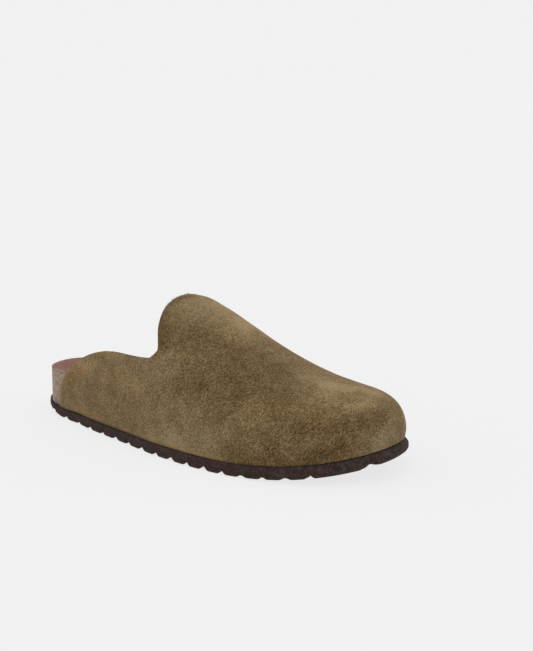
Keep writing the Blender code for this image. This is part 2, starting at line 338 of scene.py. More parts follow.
def clouds(tree, where, scale, detail, **look):
    """Values of a cloudy noise, about 0.5 on average."""
    inputs = {"Vector": where, "Scale": scale, "Detail": detail, **look}
    return put(tree, "ShaderNodeTexNoise", inputs).outputs["Fac"]


def emboss(tree, shader, height, strength, depth):
    """Feeds a height to the shader as bump, with its depth in metres."""
    bump = put(tree, "ShaderNodeBump", {"Strength": strength, "Distance": depth, "Height": height})
    tree.links.new(bump.outputs[0], shader.inputs["Normal"])


def new_group(name, takes, gives):
    """A node group with a number for each name it takes or gives, and its input node's outputs."""
    group = bpy.data.node_groups.new(name, "ShaderNodeTree")
    for in_out, sockets in (("INPUT", takes), ("OUTPUT", gives)):
        for socket in sockets:
            group.interface.new_socket(socket, in_out=in_out, socket_type="NodeSocketFloat")
    return group, put(group, "NodeGroupInput").outputs


def place_group(tree, group, amount):
    """Outputs of a group's node in a material, with its one input set to an amount."""
    placed = put(tree, "ShaderNodeGroup", node_tree=group)
    placed.inputs[0].default_value = amount
    return placed.outputs


CRUMB_STIR_SCALE = 0.6
CRUMB_STIR_REACH = 0.0012
CRUMB_SEAM_WIDTH = 0.12


def speckle_group():
    """Crumbs pressed together: a random shade for each crumb and a mask of the seams between them."""
    group, source = new_group("pressed_crumbs", ["Crumbs per metre"], ["Shade", "Seam"])
    where = put(group, "ShaderNodeTexCoord").outputs["Object"]
    stir_scale = maths(group, "MULTIPLY", source[0], CRUMB_STIR_SCALE)
    stir = {"Vector": where, "Scale": stir_scale, "Detail": 2.0}
    stirred = put(group, "ShaderNodeTexNoise", stir).outputs["Color"]
    reach = {0: stirred, "Scale": CRUMB_STIR_REACH}
    shift = put(group, "ShaderNodeVectorMath", reach, operation="SCALE").outputs[0]
    moved = put(group, "ShaderNodeVectorMath", {0: where, 1: shift}, operation="ADD").outputs[0]
    crumbs = {"Vector": moved, "Scale": source[0]}
    cells = put(group, "ShaderNodeTexVoronoi", crumbs).outputs["Color"]
    shade = put(group, "ShaderNodeSeparateColor", {0: cells}).outputs[0]
    edges = put(group, "ShaderNodeTexVoronoi", crumbs, feature="DISTANCE_TO_EDGE").outputs["Distance"]
    seam = spread(group, edges, 0.0, CRUMB_SEAM_WIDTH, 1.0, 0.0)
    put(group, "NodeGroupOutput", {0: shade, 1: seam})
    return group


CRUMBS = speckle_group()
CLOUD_RANGE = (0.3, 0.7)
FOAM_CRUMBS_PER_METRE = 900.0
FOAM_CLOUDS_PER_METRE = 90.0
FOAM_RUBS_PER_METRE = 260.0
FOAM_DARK = (0.0240, 0.0114, 0.0086)
FOAM_BROWN = (0.0505, 0.0260, 0.0208)
FOAM_FLECK = (0.060, 0.046, 0.042)
FOAM_SCUFF = (0.130, 0.118, 0.115)
FOAM_ROUGHNESS = (0.70, 0.84)
FLECK_RANGE = (0.80, 0.98)
FLECK_STRENGTH = 0.8
SCUFF_STATIONS = (206.0, 246.0)
SCUFF_RANGE = (0.46, 0.70)
SCUFF_STRENGTH = 0.42


def foam_rubber():
    """Dark brown foam with fine flecks, a faintly crumbly surface and grey scuffs at the front."""
    finish, tree, shader = new_finish("dark_foam_rubber", FOAM_ROUGHNESS[0], Specular_IOR_Level=0.22)
    crumb = place_group(tree, CRUMBS, FOAM_CRUMBS_PER_METRE)["Shade"]
    where = put(tree, "ShaderNodeTexCoord").outputs["Object"]
    cloud = clouds(tree, where, FOAM_CLOUDS_PER_METRE, 4.0)
    body = blend(tree, spread(tree, cloud, *CLOUD_RANGE), FOAM_DARK, FOAM_BROWN)
    flecked = blend(tree, spread(tree, crumb, *FLECK_RANGE, 0.0, FLECK_STRENGTH), body, FOAM_FLECK)
    rubs = clouds(tree, where, FOAM_RUBS_PER_METRE, 5.0, Roughness=0.7)
    along = put(tree, "ShaderNodeSeparateXYZ", {0: where}).outputs["X"]
    front = spread(tree, along, *[place(station, 0, 0).x for station in SCUFF_STATIONS])
    rubbed = maths(tree, "MULTIPLY", spread(tree, rubs, *SCUFF_RANGE), front)
    scuffed = blend(tree, maths(tree, "MULTIPLY", rubbed, SCUFF_STRENGTH), flecked, FOAM_SCUFF)
    tree.links.new(scuffed, shader.inputs["Base Color"])
    tree.links.new(spread(tree, cloud, *CLOUD_RANGE, *FOAM_ROUGHNESS), shader.inputs["Roughness"])
    emboss(tree, shader, maths(tree, "ADD", crumb, cloud), strength=0.35, depth=0.00025)
    return finish


outsole_mesh, outsole_share = warped_grid(OUTSOLE_COLUMNS, OUTSOLE_ROWS, tread_point)
bmesh.ops.remove_doubles(outsole_mesh, verts=outsole_mesh.verts, dist=MERGE_GAP)
top_loop = raise_rim(outsole_mesh, outsole_share, [outsole_edge(edge) for edge in OUTSOLE_EDGE])
bmesh.ops.edgeloop_fill(outsole_mesh, edges=top_loop)
outsole = finish_piece("ribbed_outsole", outsole_mesh, [foam_rubber()])
outsole.data.set_sharp_from_angle(angle=OUTSOLE_SHARP)
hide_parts("outsole")

# Footbed
# A block of ground cork and latex, pressed to a heel cup and an arch and sealed with a thin clear coat.
# It is glued on the outsole, and only its back shows, behind the upper's free edges.

WALL = 2.2
CLEARANCE = 0.3
SLANT_ROOM = 0.4
UPPER_OUTSIDE = Inset(1.6, 1.5, 1.6)
FOOTBED_EDGE = Inset(UPPER_OUTSIDE.side + WALL + CLEARANCE + SLANT_ROOM, 8.5, 1.6)
HEEL_FLUSH = (12.0, 24.0)
INSOLE_THICKNESS = 1.2
DISH_POWER = 2.4
FOOTBED_COLUMNS = 150
FOOTBED_ROWS = 40
FOOTBED_SHARP = math.radians(40)
FOOTBED_SOFTNESS = 0.6
SOFTENED_ANGLE = math.radians(50)

# Sections of the upper: ridge height above the floor, ridge offset to the inner side, and fullness
# (2 is an ellipse, more is squarer). Behind the tongue the ridge is only a guide for the side walls.
Section = namedtuple("Section", "station ridge side fullness")
SECTIONS = (
    Section(0, 99.0, 0.0, 2.3),
    Section(90, 98.2, 1.0, 2.3),
    Section(117, 96.6, 2.0, 2.25),
    Section(132, 95.7, 3.0, 2.2),
    Section(147, 90.3, 4.0, 2.2),
    Section(165, 80.9, 5.4, 2.2),
    Section(182, 71.4, 6.6, 2.2),
    Section(208, 59.7, 7.8, 2.25),
    Section(229, 53.7, 8.4, 2.35),
    Section(250, 50.5, TOE_TIP_SIDE, 2.45),
    Section(LENGTH, 48.5, TOE_TIP_SIDE, 2.5),
)
TOE_BOX_START = 250.0
TOE_BOX_POWER = 3.0

# Insole top: height at the middle of the foot and at the two rims
Seat = namedtuple("Seat", "station middle lateral medial")
SEATS = (
    Seat(FOOTBED_EDGE.heel, 32.2, 32.2, 32.2),
    Seat(10, 27.5, 32.6, 31.6),
    Seat(26, 22.0, 33.6, 32.0),
    Seat(48, 19.8, 33.6, 34.4),
    Seat(80, 22.0, 33.0, 40.0),
    Seat(112, 24.5, 31.0, 42.0),
    Seat(150, 22.5, 27.0, 35.0),
    Seat(186, 18.5, 23.5, 25.0),
    Seat(220, 18.0, 21.5, 22.0),
    Seat(250, 21.0, 23.0, 23.0),
    Seat(LENGTH - FOOTBED_EDGE.toe, 28.0, 28.0, 28.0),
)


def section(station, inset, drop=0.0):
    """The upper's section at a station: seat height, ridge height, ridge side, both edges and fullness."""
    seat = sole_top(station) + CLEARANCE
    tip = LENGTH - inset.toe
    toe_box = rounded((station - TOE_BOX_START) / (tip - TOE_BOX_START), TOE_BOX_POWER)
    ridge = seat + (smooth(SECTIONS, "ridge", station) - drop - seat) * toe_box
    lateral, medial = plan_edges(station, inset)
    side = smooth(SECTIONS, "side", station)
    return seat, ridge, side, lateral, medial, smooth(SECTIONS, "fullness", station)


def inner_edges(station, height):
    """Both edges of what fills the upper at a height: inside its wall and the footbed's outline."""
    out = ease(*HEEL_FLUSH, station)
    side_inset = FOOTBED_EDGE.heel + (FOOTBED_EDGE.side - FOOTBED_EDGE.heel) * out
    wall = Inset(side_inset, UPPER_OUTSIDE.toe + WALL + CLEARANCE, FOOTBED_EDGE.heel)
    seat, ridge, side, lateral, medial, fullness = section(station, wall, WALL)
    reach = rounded((height - seat) / (ridge - seat), fullness)
    own = plan_edges(station, FOOTBED_EDGE._replace(side=side_inset))
    return max(side + (lateral - side) * reach, own[0]), min(side + (medial - side) * reach, own[1])


def footbed_station(along):
    """Station of a share along the footbed."""
    return FOOTBED_EDGE.heel + (LENGTH - FOOTBED_EDGE.toe - FOOTBED_EDGE.heel) * end_spaced(along)


def dish(drop):
    """A level of the footbed or insole, a distance below the insole's dished top."""

    def level(along, across):
        station = footbed_station(along)
        middle = smooth(SEATS, "middle", station)
        rims = smooth(SEATS, "lateral", station), smooth(SEATS, "medial", station)
        lateral = inner_edges(station, rims[0])[0]
        medial = inner_edges(station, rims[1])[1]
        rim = rims[0] if across < 0.5 else rims[1]
        height = middle + (rim - middle) * abs(2 * across - 1) ** DISH_POWER
        return place(station, lateral + (medial - lateral) * across, height - drop)

    return level


def footbed_base(along, across):
    """The footbed's underside, just above the outsole."""
    station = footbed_station(along)
    height = sole_top(station) + CLEARANCE
    lateral, medial = inner_edges(station, height)
    return place(station, lateral + (medial - lateral) * across, height)


def close_below(bm, share, point):
    """Extrudes a grid down to a lower one of the same outline, and returns the faces of its rim."""
    made = bmesh.ops.extrude_face_region(bm, geom=bm.faces[:])["geom"]
    lower = {item for item in made if isinstance(item, bmesh.types.BMVert)}
    for vert in lower:
        vert.co = point(vert[share].x, vert[share].y)
    return [face for face in bm.faces if 0 < sum(vert in lower for vert in face.verts) < len(face.verts)]


def soften(piece, width):
    """Rounds a piece's sharp edges."""
    bevel = piece.modifiers.new("soft_edge", "BEVEL")
    bevel.width = width * MM
    bevel.segments = 2
    bevel.limit_method = "ANGLE"
    bevel.angle_limit = SOFTENED_ANGLE


CORK_CRUMBS_PER_METRE = 640.0
CORK_PALE = (0.42, 0.305, 0.235)
CORK_TAN = (0.27, 0.182, 0.130)
CORK_SEAM = (0.14, 0.092, 0.068)
CORK_SEAM_DARKNESS = 0.35
CORK_SPECK_RANGE = (0.06, 0.12)
CORK_SPECK_DARKNESS = 0.5


def sealed_cork():
    """Ground cork under a thin clear seal: pale and tan crumbs, a few dark ones, and darker seams."""
    finish, tree, shader = new_finish("sealed_cork", 0.62, Coat_Weight=0.12, Coat_Roughness=0.45)
    crumbs = place_group(tree, CRUMBS, CORK_CRUMBS_PER_METRE)
    body = blend(tree, crumbs["Shade"], CORK_TAN, CORK_PALE)
    specks = spread(tree, crumbs["Shade"], *CORK_SPECK_RANGE, CORK_SPECK_DARKNESS, 0.0)
    seams = maths(tree, "MULTIPLY", crumbs["Seam"], CORK_SEAM_DARKNESS)
    dark = maths(tree, "MAXIMUM", seams, specks)
    tree.links.new(blend(tree, dark, body, CORK_SEAM), shader.inputs["Base Color"])
    height = maths(tree, "SUBTRACT", crumbs["Shade"], crumbs["Seam"])
    emboss(tree, shader, height, strength=0.3, depth=0.0002)
    return finish


footbed_top = dish(INSOLE_THICKNESS + CLEARANCE)
footbed_mesh, footbed_share = warped_grid(FOOTBED_COLUMNS, FOOTBED_ROWS, footbed_top)
close_below(footbed_mesh, footbed_share, footbed_base)
footbed = finish_piece("cork_footbed", footbed_mesh, [sealed_cork()])
footbed.data.set_sharp_from_angle(angle=FOOTBED_SHARP)
soften(footbed, FOOTBED_SOFTNESS)
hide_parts("footbed")

# Insole
# Thin pinkish brown split suede, glued into the footbed's dish and trimmed flush at its rim.
# The foot rests on it, and at the heel its pale cut edge shows above the cork.

INSOLE_COLUMNS = 190
INSOLE_ROWS = 70
INSOLE_SOFTNESS = 0.35
INSOLE_DEEP = (0.175, 0.080, 0.056)
INSOLE_PINK = (0.345, 0.170, 0.118)
INSOLE_EDGE = (0.30, 0.200, 0.160)
INSOLE_EDGE_PALE = (0.46, 0.335, 0.280)
INSOLE_FIBRES_PER_METRE = 900.0
INSOLE_MOTTLE_SHARE = 0.55
NAP_CLOUDS_PER_METRE = 105.0
NAP_LAYS_PER_METRE = 95.0
NAP_LAY_CHANGE = (0.44, 0.56)
NAP_STRETCH = 2.2
NAP_TURNS = ((-0.30, 0.72), (-0.95, 0.95))
NAP_STREAK_SHARE = 0.55
NAP_FINER = 1.1
NAP_MOTTLE_RANGE = (0.28, 0.72)
NAP_FIBRE_RANGE = (0.41, 0.59)


def weighed(tree, share, first, second):
    """Two values added, with a share of the first and the rest of the second."""
    rest = maths(tree, "MULTIPLY", second, 1 - share)
    return maths(tree, "ADD", maths(tree, "MULTIPLY", first, share), rest)


def nap_group():
    """Brushed fibres of split leather: cloudy mottling, streaks that change their lay, and height."""
    group, source = new_group("brushed_nap", ["Fibres per metre"], ["Mottle", "Fibre", "Height"])
    fibres = source[0]
    where = put(group, "ShaderNodeTexCoord").outputs["Object"]
    mottle = clouds(group, where, NAP_CLOUDS_PER_METRE, 3.0, Roughness=0.55, Distortion=0.5)

    def streaks(turn):
        lay = {"Vector": where, "Rotation": (0.0, *turn), "Scale": (NAP_STRETCH, 1.0, 1.0)}
        laid = put(group, "ShaderNodeMapping", lay, vector_type="TEXTURE").outputs[0]
        return clouds(group, laid, fibres, 2.0, Roughness=0.6, Distortion=0.3)

    lean = spread(group, clouds(group, where, NAP_LAYS_PER_METRE, 2.0), *NAP_LAY_CHANGE)
    first, second = (streaks(turn) for turn in NAP_TURNS)
    change = maths(group, "MULTIPLY", maths(group, "SUBTRACT", second, first), lean)
    streak = maths(group, "ADD", first, change)
    fine = clouds(group, where, maths(group, "MULTIPLY", fibres, NAP_FINER), 2.0)
    height = weighed(group, NAP_STREAK_SHARE, streak, fine)
    mottled = spread(group, mottle, *NAP_MOTTLE_RANGE)
    put(group, "NodeGroupOutput", {0: mottled, 1: spread(group, height, *NAP_FIBRE_RANGE), 2: height})
    return group


NAP = nap_group()


def insole_suede():
    """Short-napped split suede, a little deeper where it is mottled."""
    finish, tree, shader = new_finish("insole_suede", 0.92, Sheen_Weight=0.15, Sheen_Roughness=0.6)
    nap = place_group(tree, NAP, INSOLE_FIBRES_PER_METRE)
    share = weighed(tree, INSOLE_MOTTLE_SHARE, nap["Mottle"], nap["Fibre"])
    tree.links.new(blend(tree, share, INSOLE_DEEP, INSOLE_PINK), shader.inputs["Base Color"])
    emboss(tree, shader, nap["Height"], strength=0.4, depth=0.0002)
    return finish


def insole_cut():
    """The insole's cut edge, paler and rougher than its face."""
    finish, tree, shader = new_finish("insole_cut_edge", 0.95, Specular_IOR_Level=0.2)
    fibre = place_group(tree, NAP, INSOLE_FIBRES_PER_METRE)["Fibre"]
    tree.links.new(blend(tree, fibre, INSOLE_EDGE, INSOLE_EDGE_PALE), shader.inputs["Base Color"])
    return finish


insole_mesh, insole_share = warped_grid(INSOLE_COLUMNS, INSOLE_ROWS, dish(0.0))
for rim_face in close_below(insole_mesh, insole_share, dish(INSOLE_THICKNESS)):
    rim_face.material_index = 1
insole = finish_piece("dished_insole", insole_mesh, [insole_suede(), insole_cut()])
insole.data.set_sharp_from_angle(angle=FOOTBED_SHARP)
soften(insole, INSOLE_SOFTNESS)
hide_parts("insole")

# Upper
# One piece of olive suede, pulled over the last, wrapped under the footbed and glued. The tongue, the
# two notches and the falling sides are all one free edge, cut raw and rolled in a little at the top.
# Wear has creased the toe and brushed the nap into lighter and darker clouds. Mixed into those clouds are
# painted sheen on the ridge, the tongue and the toe's fold and front edge, and painted shade over the
# vamp, in the creases, on the tongue's back edge and along the seam with the sole.

SUEDE_THICKNESS = 1.4
COLLAR_CROWDING = 1.7
SPREAD_END = 0.55
UPPER_COLUMNS = 160
UPPER_ROWS = 208

# The free edge on each side: climb is the angle round the section, 0 at the sole and 90 on the ridge
Collar = namedtuple("Collar", "station climb")
TONGUE = (
    Collar(119.9, 66.0),
    Collar(119.8, 78.0),
    Collar(120.0, 90),
)
LATERAL_COLLAR = (
    Collar(24.5, 0),
    Collar(28.5, 8.1),
    Collar(37.5, 16.4),
    Collar(57, 24.8),
    Collar(80, 30.5),
    Collar(105, 32.4),
    Collar(122.6, 34.4),
    Collar(126.6, 36.3),
    Collar(129.0, 38.5),
    Collar(129.6, 41.5),
    Collar(123.1, 53.0),
    *TONGUE,
)
MEDIAL_COLLAR = (
    Collar(46, 0),
    Collar(50, 7.1),
    Collar(60, 14.3),
    Collar(76, 22.6),
    Collar(92, 28.6),
    Collar(108, 32.0),
    Collar(121.4, 34.6),
    Collar(125.2, 36.6),
    Collar(127.6, 38.8),
    Collar(128.2, 41.5),
    Collar(122.6, 53.0),
    *TONGUE,
)

# Creases run between two places on the upper. Depth is in millimetres, and a ridge has a depth below 0.
Crease = namedtuple("Crease", "station climb to_station to_climb width depth")
CREASES = (
    Crease(268, 52, 277, 66, 5.0, 0.9),
    Crease(258, 46, 268, 52, 5.0, 0.6),
    Crease(261, 62, 270, 80, 5.0, -0.7),
    Crease(279, 40, 281, 62, 5.0, -0.4),
    Crease(256, 22, 264, 16, 5.0, 0.5),
    Crease(96, 20, 99, 4, 2.2, 0.35),
    Crease(150, 20, 152, 5, 2.5, 0.35),
    Crease(152, 40, 172, 30, 9.0, 0.7),
    Crease(182, 46, 200, 38, 8.0, 0.5),
    Crease(120, 24, 132, 18, 9.0, -0.4),
    Crease(160, 140, 178, 150, 9.0, 0.5),
)

# Places where the suede is lighter (above 0) or darker, from one spot to another: partly the nap's own
# lay, partly painted light and shade that follow the shape
Patch = namedtuple("Patch", "station climb to_station to_climb width tone")
NAP_TONES_AND_PAINTED_LIGHT = (
    # The tongue: a light right half, partly nap and partly painted sheen, and a dark rear edge down to the
    # notch, painted shade where it turns from the light
    Patch(141, 80, 170, 86, 10.0, 1.5),
    Patch(142, 97, 166, 98, 10.0, 2.4),
    Patch(130, 42, 121, 60, 7.0, -2.1),
    Patch(121, 60, 121, 80, 5.0, -1.3),
    Patch(121, 80, 124, 92, 5.0, -1.1),
    Patch(124, 63, 128, 66, 5.0, 0.6),
    Patch(133, 49, 142, 49, 6.0, -0.6),
    Patch(140, 67, 152, 69, 6.0, 0.5),
    # The vamp: painted shade in a broad dark lay under the ridge, with darker clouds in it, and painted
    # sheen along the ridge
    Patch(152, 57, 215, 66, 16.0, -0.85),
    Patch(157, 59, 179, 74, 7.0, -0.6),
    Patch(190, 47, 198, 44, 9.0, -0.9),
    Patch(190, 104, 204, 106, 8.0, -0.6),
    Patch(208, 46, 224, 54, 9.0, -0.5),
    Patch(230, 34, 238, 44, 8.0, -0.5),
    Patch(150, 31, 168, 35, 7.0, -1.2),
    Patch(182, 32, 187, 29, 8.0, -0.9),
    Patch(194, 74, 210, 79, 9.0, -0.7),
    Patch(204, 36, 208, 33, 7.0, 0.7),
    Patch(153, 51, 157, 49, 6.0, 0.6),
    Patch(162, 22, 172, 22, 8.0, 0.6),
    Patch(226, 76, 242, 68, 9.0, 0.6),
    Patch(221, 86, 238, 88, 8.0, 1.1),
    Patch(242, 87, 262, 98, 8.0, 1.9),
    # The toe: a painted highlight on the fold over painted shade in the trough, and a painted rim
    # highlight low at the front edge
    Patch(263, 62, 269, 78, 5.0, 2.0),
    Patch(240, 29, 258, 31, 7.0, -0.8),
    Patch(271, 48, 277, 58, 7.0, -1.5),
    Patch(279, 2, 281, 34, 7.0, 1.7),
    Patch(280, 84, 281, 100, 6.0, 0.4),
    Patch(265, 43, 269, 41, 5.0, -0.6),
    Patch(267, 63, 270, 61, 4.0, 0.7),
    Patch(273, 22, 279, 10, 7.0, 0.7),
    Patch(267, 18, 271, 15, 7.0, -0.9),
    Patch(270, 112, 278, 125, 8.0, -0.6),
    # The inner side: clouds of the same kind
    Patch(96, 158, 128, 150, 10.0, 0.7),
    Patch(140, 128, 166, 118, 12.0, -0.7),
    Patch(172, 150, 196, 140, 10.0, -0.8),
    Patch(206, 128, 226, 122, 9.0, 0.6),
    Patch(212, 166, 244, 164, 8.0, 0.8),
    Patch(246, 140, 262, 132, 8.0, -0.8),
    Patch(130, 172, 160, 174, 8.0, -0.6),
    # Along the sole: light at the arch, dark by turns at the ball, with painted shade along the seam with
    # the outsole
    Patch(136, 0, 190, 0, 8.0, 2.0),
    Patch(141, 11, 150, 5, 7.0, 1.0),
    Patch(164, 9, 196, 12, 6.0, 0.8),
    Patch(196, 18, 199, 15, 7.0, 0.5),
    Patch(199, 7, 208, 5, 7.0, -1.4),
    Patch(217, 19, 222, 16, 7.0, -0.5),
    Patch(226, 6, 240, 2, 5.0, -0.8),
    Patch(212, 0, 246, 0, 4.0, -1.2),
    Patch(250, 3, 263, 11, 6.0, -1.4),
    Patch(246, 19, 264, 21, 5.0, 0.6),
    # The quarter: light under the collar and in the middle, and painted shade round the creases
    Patch(36, 18, 66, 22, 6.0, 1.3),
    Patch(86, 30, 94, 30, 6.0, 1.5),
    Patch(134, 40, 146, 32, 8.0, 1.0),
    Patch(108, 21, 130, 25, 9.0, 0.75),
    Patch(40, 0, 132, 0, 5.0, 0.9),
    Patch(100, 8, 104, 2, 7.0, -0.9),
    Patch(62, 8, 69, 3, 9.0, -0.9),
    Patch(120, 35, 124, 33, 6.0, 1.3),
)

# Places where wear and handling have turned the suede a warmer brown (above 0) or a greyer olive
NAP_WARMTH = (
    Patch(42, 1, 70, 0, 5.0, 0.9),
    Patch(70, 0, 130, 0, 4.0, 0.6),
    Patch(160, 0, 262, 1, 4.0, 0.7),
    Patch(258, 8, 263, 11, 5.0, 0.4),
    Patch(128, 46, 130, 41, 5.0, 1.3),
    Patch(172, 102, 220, 108, 6.0, 0.9),
    Patch(252, 108, 279, 136, 7.0, 0.6),
    Patch(36, 15, 54, 16, 8.0, 0.8),
    Patch(70, 29, 73, 29, 6.0, 0.6),
    Patch(121, 84, 124, 92, 6.0, 1.0),
    Patch(245, 37, 254, 38, 7.0, 0.3),
    Patch(198, 38, 224, 46, 5.0, 0.4),
    Patch(88, 20, 91, 20, 7.0, 0.5),
    Patch(108, 15, 111, 14, 6.0, 0.5),
    Patch(278, 14, 281, 26, 7.0, -0.6),
    Patch(148, 5, 186, 8, 8.0, -0.6),
    Patch(138, 36, 144, 34, 8.0, -0.7),
    Patch(140, 76, 150, 72, 9.0, -0.7),
)
PATCH_STEPS = 10
PATCH_WANDER = 2.5
PATCH_WANDER_LENGTH = 9.0
CREASE_HOLD = (3.0, 12.0)
SOLE_TUCK = 0.9
SOLE_TUCK_HEIGHT = 8.0
SWELL_LENGTH = 24.0
SWELL_HEIGHT = 0.25
TONGUE_CLIMB = (40.0, 60.0)
TONGUE_ROLL = 0.7
TONGUE_ROLL_WIDTH = 5.0
RAW_LINE = (0.0004, 0.0014)
RAW_LINE_CLIMB = (14.0, 24.0)
RAW_LINE_DARKNESS = 0.60


def upper_point(station, climb):
    """Point of the upper's outside, at an angle that goes from 0 (lateral) over 90 to 180 (medial)."""
    seat, ridge, side, lateral, medial, fullness = section(station, UPPER_OUTSIDE)
    angle = math.radians(climb)
    reach = abs(math.cos(angle)) ** (2 / fullness)
    height = max(math.sin(angle), 0.0) ** (2 / fullness)
    edge = lateral if climb < 90 else medial
    return place(station, side + (edge - side) * reach, seat + (ridge - seat) * height)


def collar_point(rows, share):
    """Station and climb on a curve through a free edge's rows: share 0 at the sole, 1 on the ridge."""
    points = [Vector((row.station, row.climb)) for row in rows]
    i = min(int(share * (len(points) - 1)), len(points) - 2)
    t = share * (len(points) - 1) - i

    def tangent(k):
        if k == len(points) - 1:
            return Vector((0, points[k].y - points[k - 1].y))
        return (points[k + 1] - points[max(k - 1, 0)]) / 2

    bend = tangent(i) * (t * (1 - t) ** 2) + tangent(i + 1) * (t * t * (t - 1))
    return points[i].lerp(points[i + 1], t * t * (3 - 2 * t)) + bend


def upper_spot(along, across):
    """Station and climb: along goes from the free edge to the toe tip, across from lateral to medial."""
    tip = LENGTH - UPPER_OUTSIDE.toe
    if across <= 0.5:
        station, climb = collar_point(LATERAL_COLLAR, 2 * across)
    else:
        station, climb = collar_point(MEDIAL_COLLAR, 2 - 2 * across)
        climb = 180 - climb
    forward = 1 - (1 - along) ** COLLAR_CROWDING
    even = ease(0, SPREAD_END, along)
    return station + (tip - station) * forward, climb + (180 * across - climb) * even


def upper_surface(along, across):
    """The upper's smooth outside, before its creases."""
    return upper_point(*upper_spot(along, across))


def brushed(points, strokes):
    """Sum of soft strokes at each point: full along a stroke's line, and fading over its width."""
    total = np.zeros(len(points))
    for station, climb, to_station, to_climb, width, amount in strokes:
        line = np.array([
            upper_point(station + (to_station - station) * t, climb + (to_climb - climb) * t)
            for t in np.linspace(0, 1, PATCH_STEPS)
        ])
        nearest = np.linalg.norm(points[:, None, :] - line[None, :, :], axis=2).min(axis=1)
        total += amount * np.exp(-((nearest / (width * MM)) ** 2))
    return total


def upper_sheet(inwards):
    """The upper's sheet with its creases and its tuck at the sole, moved inwards by a distance."""
    bm, share = warped_grid(UPPER_COLUMNS, UPPER_ROWS, upper_surface)
    bmesh.ops.remove_doubles(bm, verts=bm.verts, dist=MERGE_GAP)
    bmesh.ops.recalc_face_normals(bm, faces=bm.faces)
    bm.normal_update()
    points = np.array([vert.co for vert in bm.verts])
    creases = brushed(points, CREASES)
    wander = [noise.noise_vector(vert.co / (PATCH_WANDER_LENGTH * MM)) for vert in bm.verts]
    ragged = points + np.array(wander) * PATCH_WANDER * MM
    # Nap tone with painted light and shade, ragged at its borders
    shades = brushed(ragged, NAP_TONES_AND_PAINTED_LIGHT)
    warmth = brushed(ragged, NAP_WARMTH)
    shade_layer = bm.verts.layers.float.new("nap_tone_and_painted_light")
    warmth_layer = bm.verts.layers.float.new("nap_warmth")
    edge_layer = bm.verts.layers.float.new("edge_gap")
    for vert, crease, shade, warm in zip(bm.verts, creases, shades, warmth):
        station, climb = upper_spot(vert[share].x, vert[share].y)
        up = min(climb, 180 - climb)
        gap = (vert.co - upper_surface(0.0, vert[share].y)).length
        height = vert.co.z / MM - sole_top(station)
        swell = SWELL_HEIGHT * noise.noise(vert.co / (SWELL_LENGTH * MM))
        press = (crease - swell) * ease(*CREASE_HOLD, height)
        press += SOLE_TUCK * (1 - ease(0, SOLE_TUCK_HEIGHT, height)) + inwards
        rolled = max(1 - gap / (TONGUE_ROLL_WIDTH * MM), 0.0) ** 2
        press += TONGUE_ROLL * ease(*TONGUE_CLIMB, up) * rolled
        vert[shade_layer] = shade
        vert[warmth_layer] = warm
        vert[edge_layer] = gap + RAW_LINE[1] * (1 - ease(*RAW_LINE_CLIMB, up))
        vert.co -= vert.normal * press * MM
    return bm


SUEDE_DEEP = (0.068, 0.0415, 0.0142)
SUEDE_OLIVE = (0.178, 0.1175, 0.0510)
SUEDE_KHAKI = (0.343, 0.2445, 0.1245)
SUEDE_WARM_TINT = (1.11, 0.985, 0.86)
SUEDE_GREY_TINT = (0.90, 1.01, 1.13)
SUEDE_RAW = (0.060, 0.040, 0.019)
SUEDE_FIBRES_PER_METRE = 1250.0
SUEDE_MOTTLE_SHARE = 0.3
SHADE_REACH = 0.17
RAW_FIBRES_PER_METRE = 1200.0


def olive_suede():
    """Olive brown suede: streaky nap, cloudy mottling, nap tones with painted light and shade, and a soft
    sheen.
    """
    finish, tree, shader = new_finish(
        "olive_suede",
        0.95,
        Specular_IOR_Level=0.15,
        Sheen_Weight=0.28,
        Sheen_Roughness=0.45,
        Sheen_Tint=(0.80, 0.70, 0.50, 1.0),
    )
    nap = place_group(tree, NAP, SUEDE_FIBRES_PER_METRE)
    shade = put(tree, "ShaderNodeAttribute", attribute_name="nap_tone_and_painted_light").outputs["Fac"]
    warmth = put(tree, "ShaderNodeAttribute", attribute_name="nap_warmth").outputs["Fac"]
    edge_gap = put(tree, "ShaderNodeAttribute", attribute_name="edge_gap").outputs["Fac"]
    share = weighed(tree, SUEDE_MOTTLE_SHARE, nap["Mottle"], nap["Fibre"])
    # The strokes' nap tone and painted light and shade move the colour lighter or darker
    share = maths(tree, "ADD", share, maths(tree, "MULTIPLY", shade, SHADE_REACH))
    share = maths(tree, "SUBTRACT", share, spread(tree, edge_gap, *RAW_LINE, RAW_LINE_DARKNESS, 0.0))
    dark_half = blend(tree, spread(tree, share, 0.0, 0.5), SUEDE_DEEP, SUEDE_OLIVE)
    colour = blend(tree, spread(tree, share, 0.5, 1.0), dark_half, SUEDE_KHAKI)
    tint = blend(tree, spread(tree, warmth, -1.0, 1.0), SUEDE_GREY_TINT, SUEDE_WARM_TINT)
    tinted = put(tree, "ShaderNodeVectorMath", {0: colour, 1: tint}, operation="MULTIPLY").outputs[0]
    tree.links.new(tinted, shader.inputs["Base Color"])
    emboss(tree, shader, nap["Height"], strength=0.6, depth=0.0005)
    return finish


def raw_suede():
    """The cut edge of the suede: darker, with its fibres standing out."""
    finish, tree, shader = new_finish("raw_suede_edge", 0.97, Specular_IOR_Level=0.1)
    fibre = place_group(tree, NAP, RAW_FIBRES_PER_METRE)["Fibre"]
    tree.links.new(blend(tree, fibre, SUEDE_RAW, SUEDE_OLIVE), shader.inputs["Base Color"])
    return finish


suede = olive_suede()
suede_edge = raw_suede()
upper = finish_piece("suede_upper", upper_sheet(0.0), [suede, suede_edge])
wall = upper.modifiers.new("suede_thickness", "SOLIDIFY")
wall.thickness = SUEDE_THICKNESS * MM
wall.offset = -1
wall.material_offset_rim = 1
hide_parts("upper")

# Lining
# Thin reddish brown leather, glued inside the suede and cut back with it at the free edge.
# It shows only when one looks into the shoe.

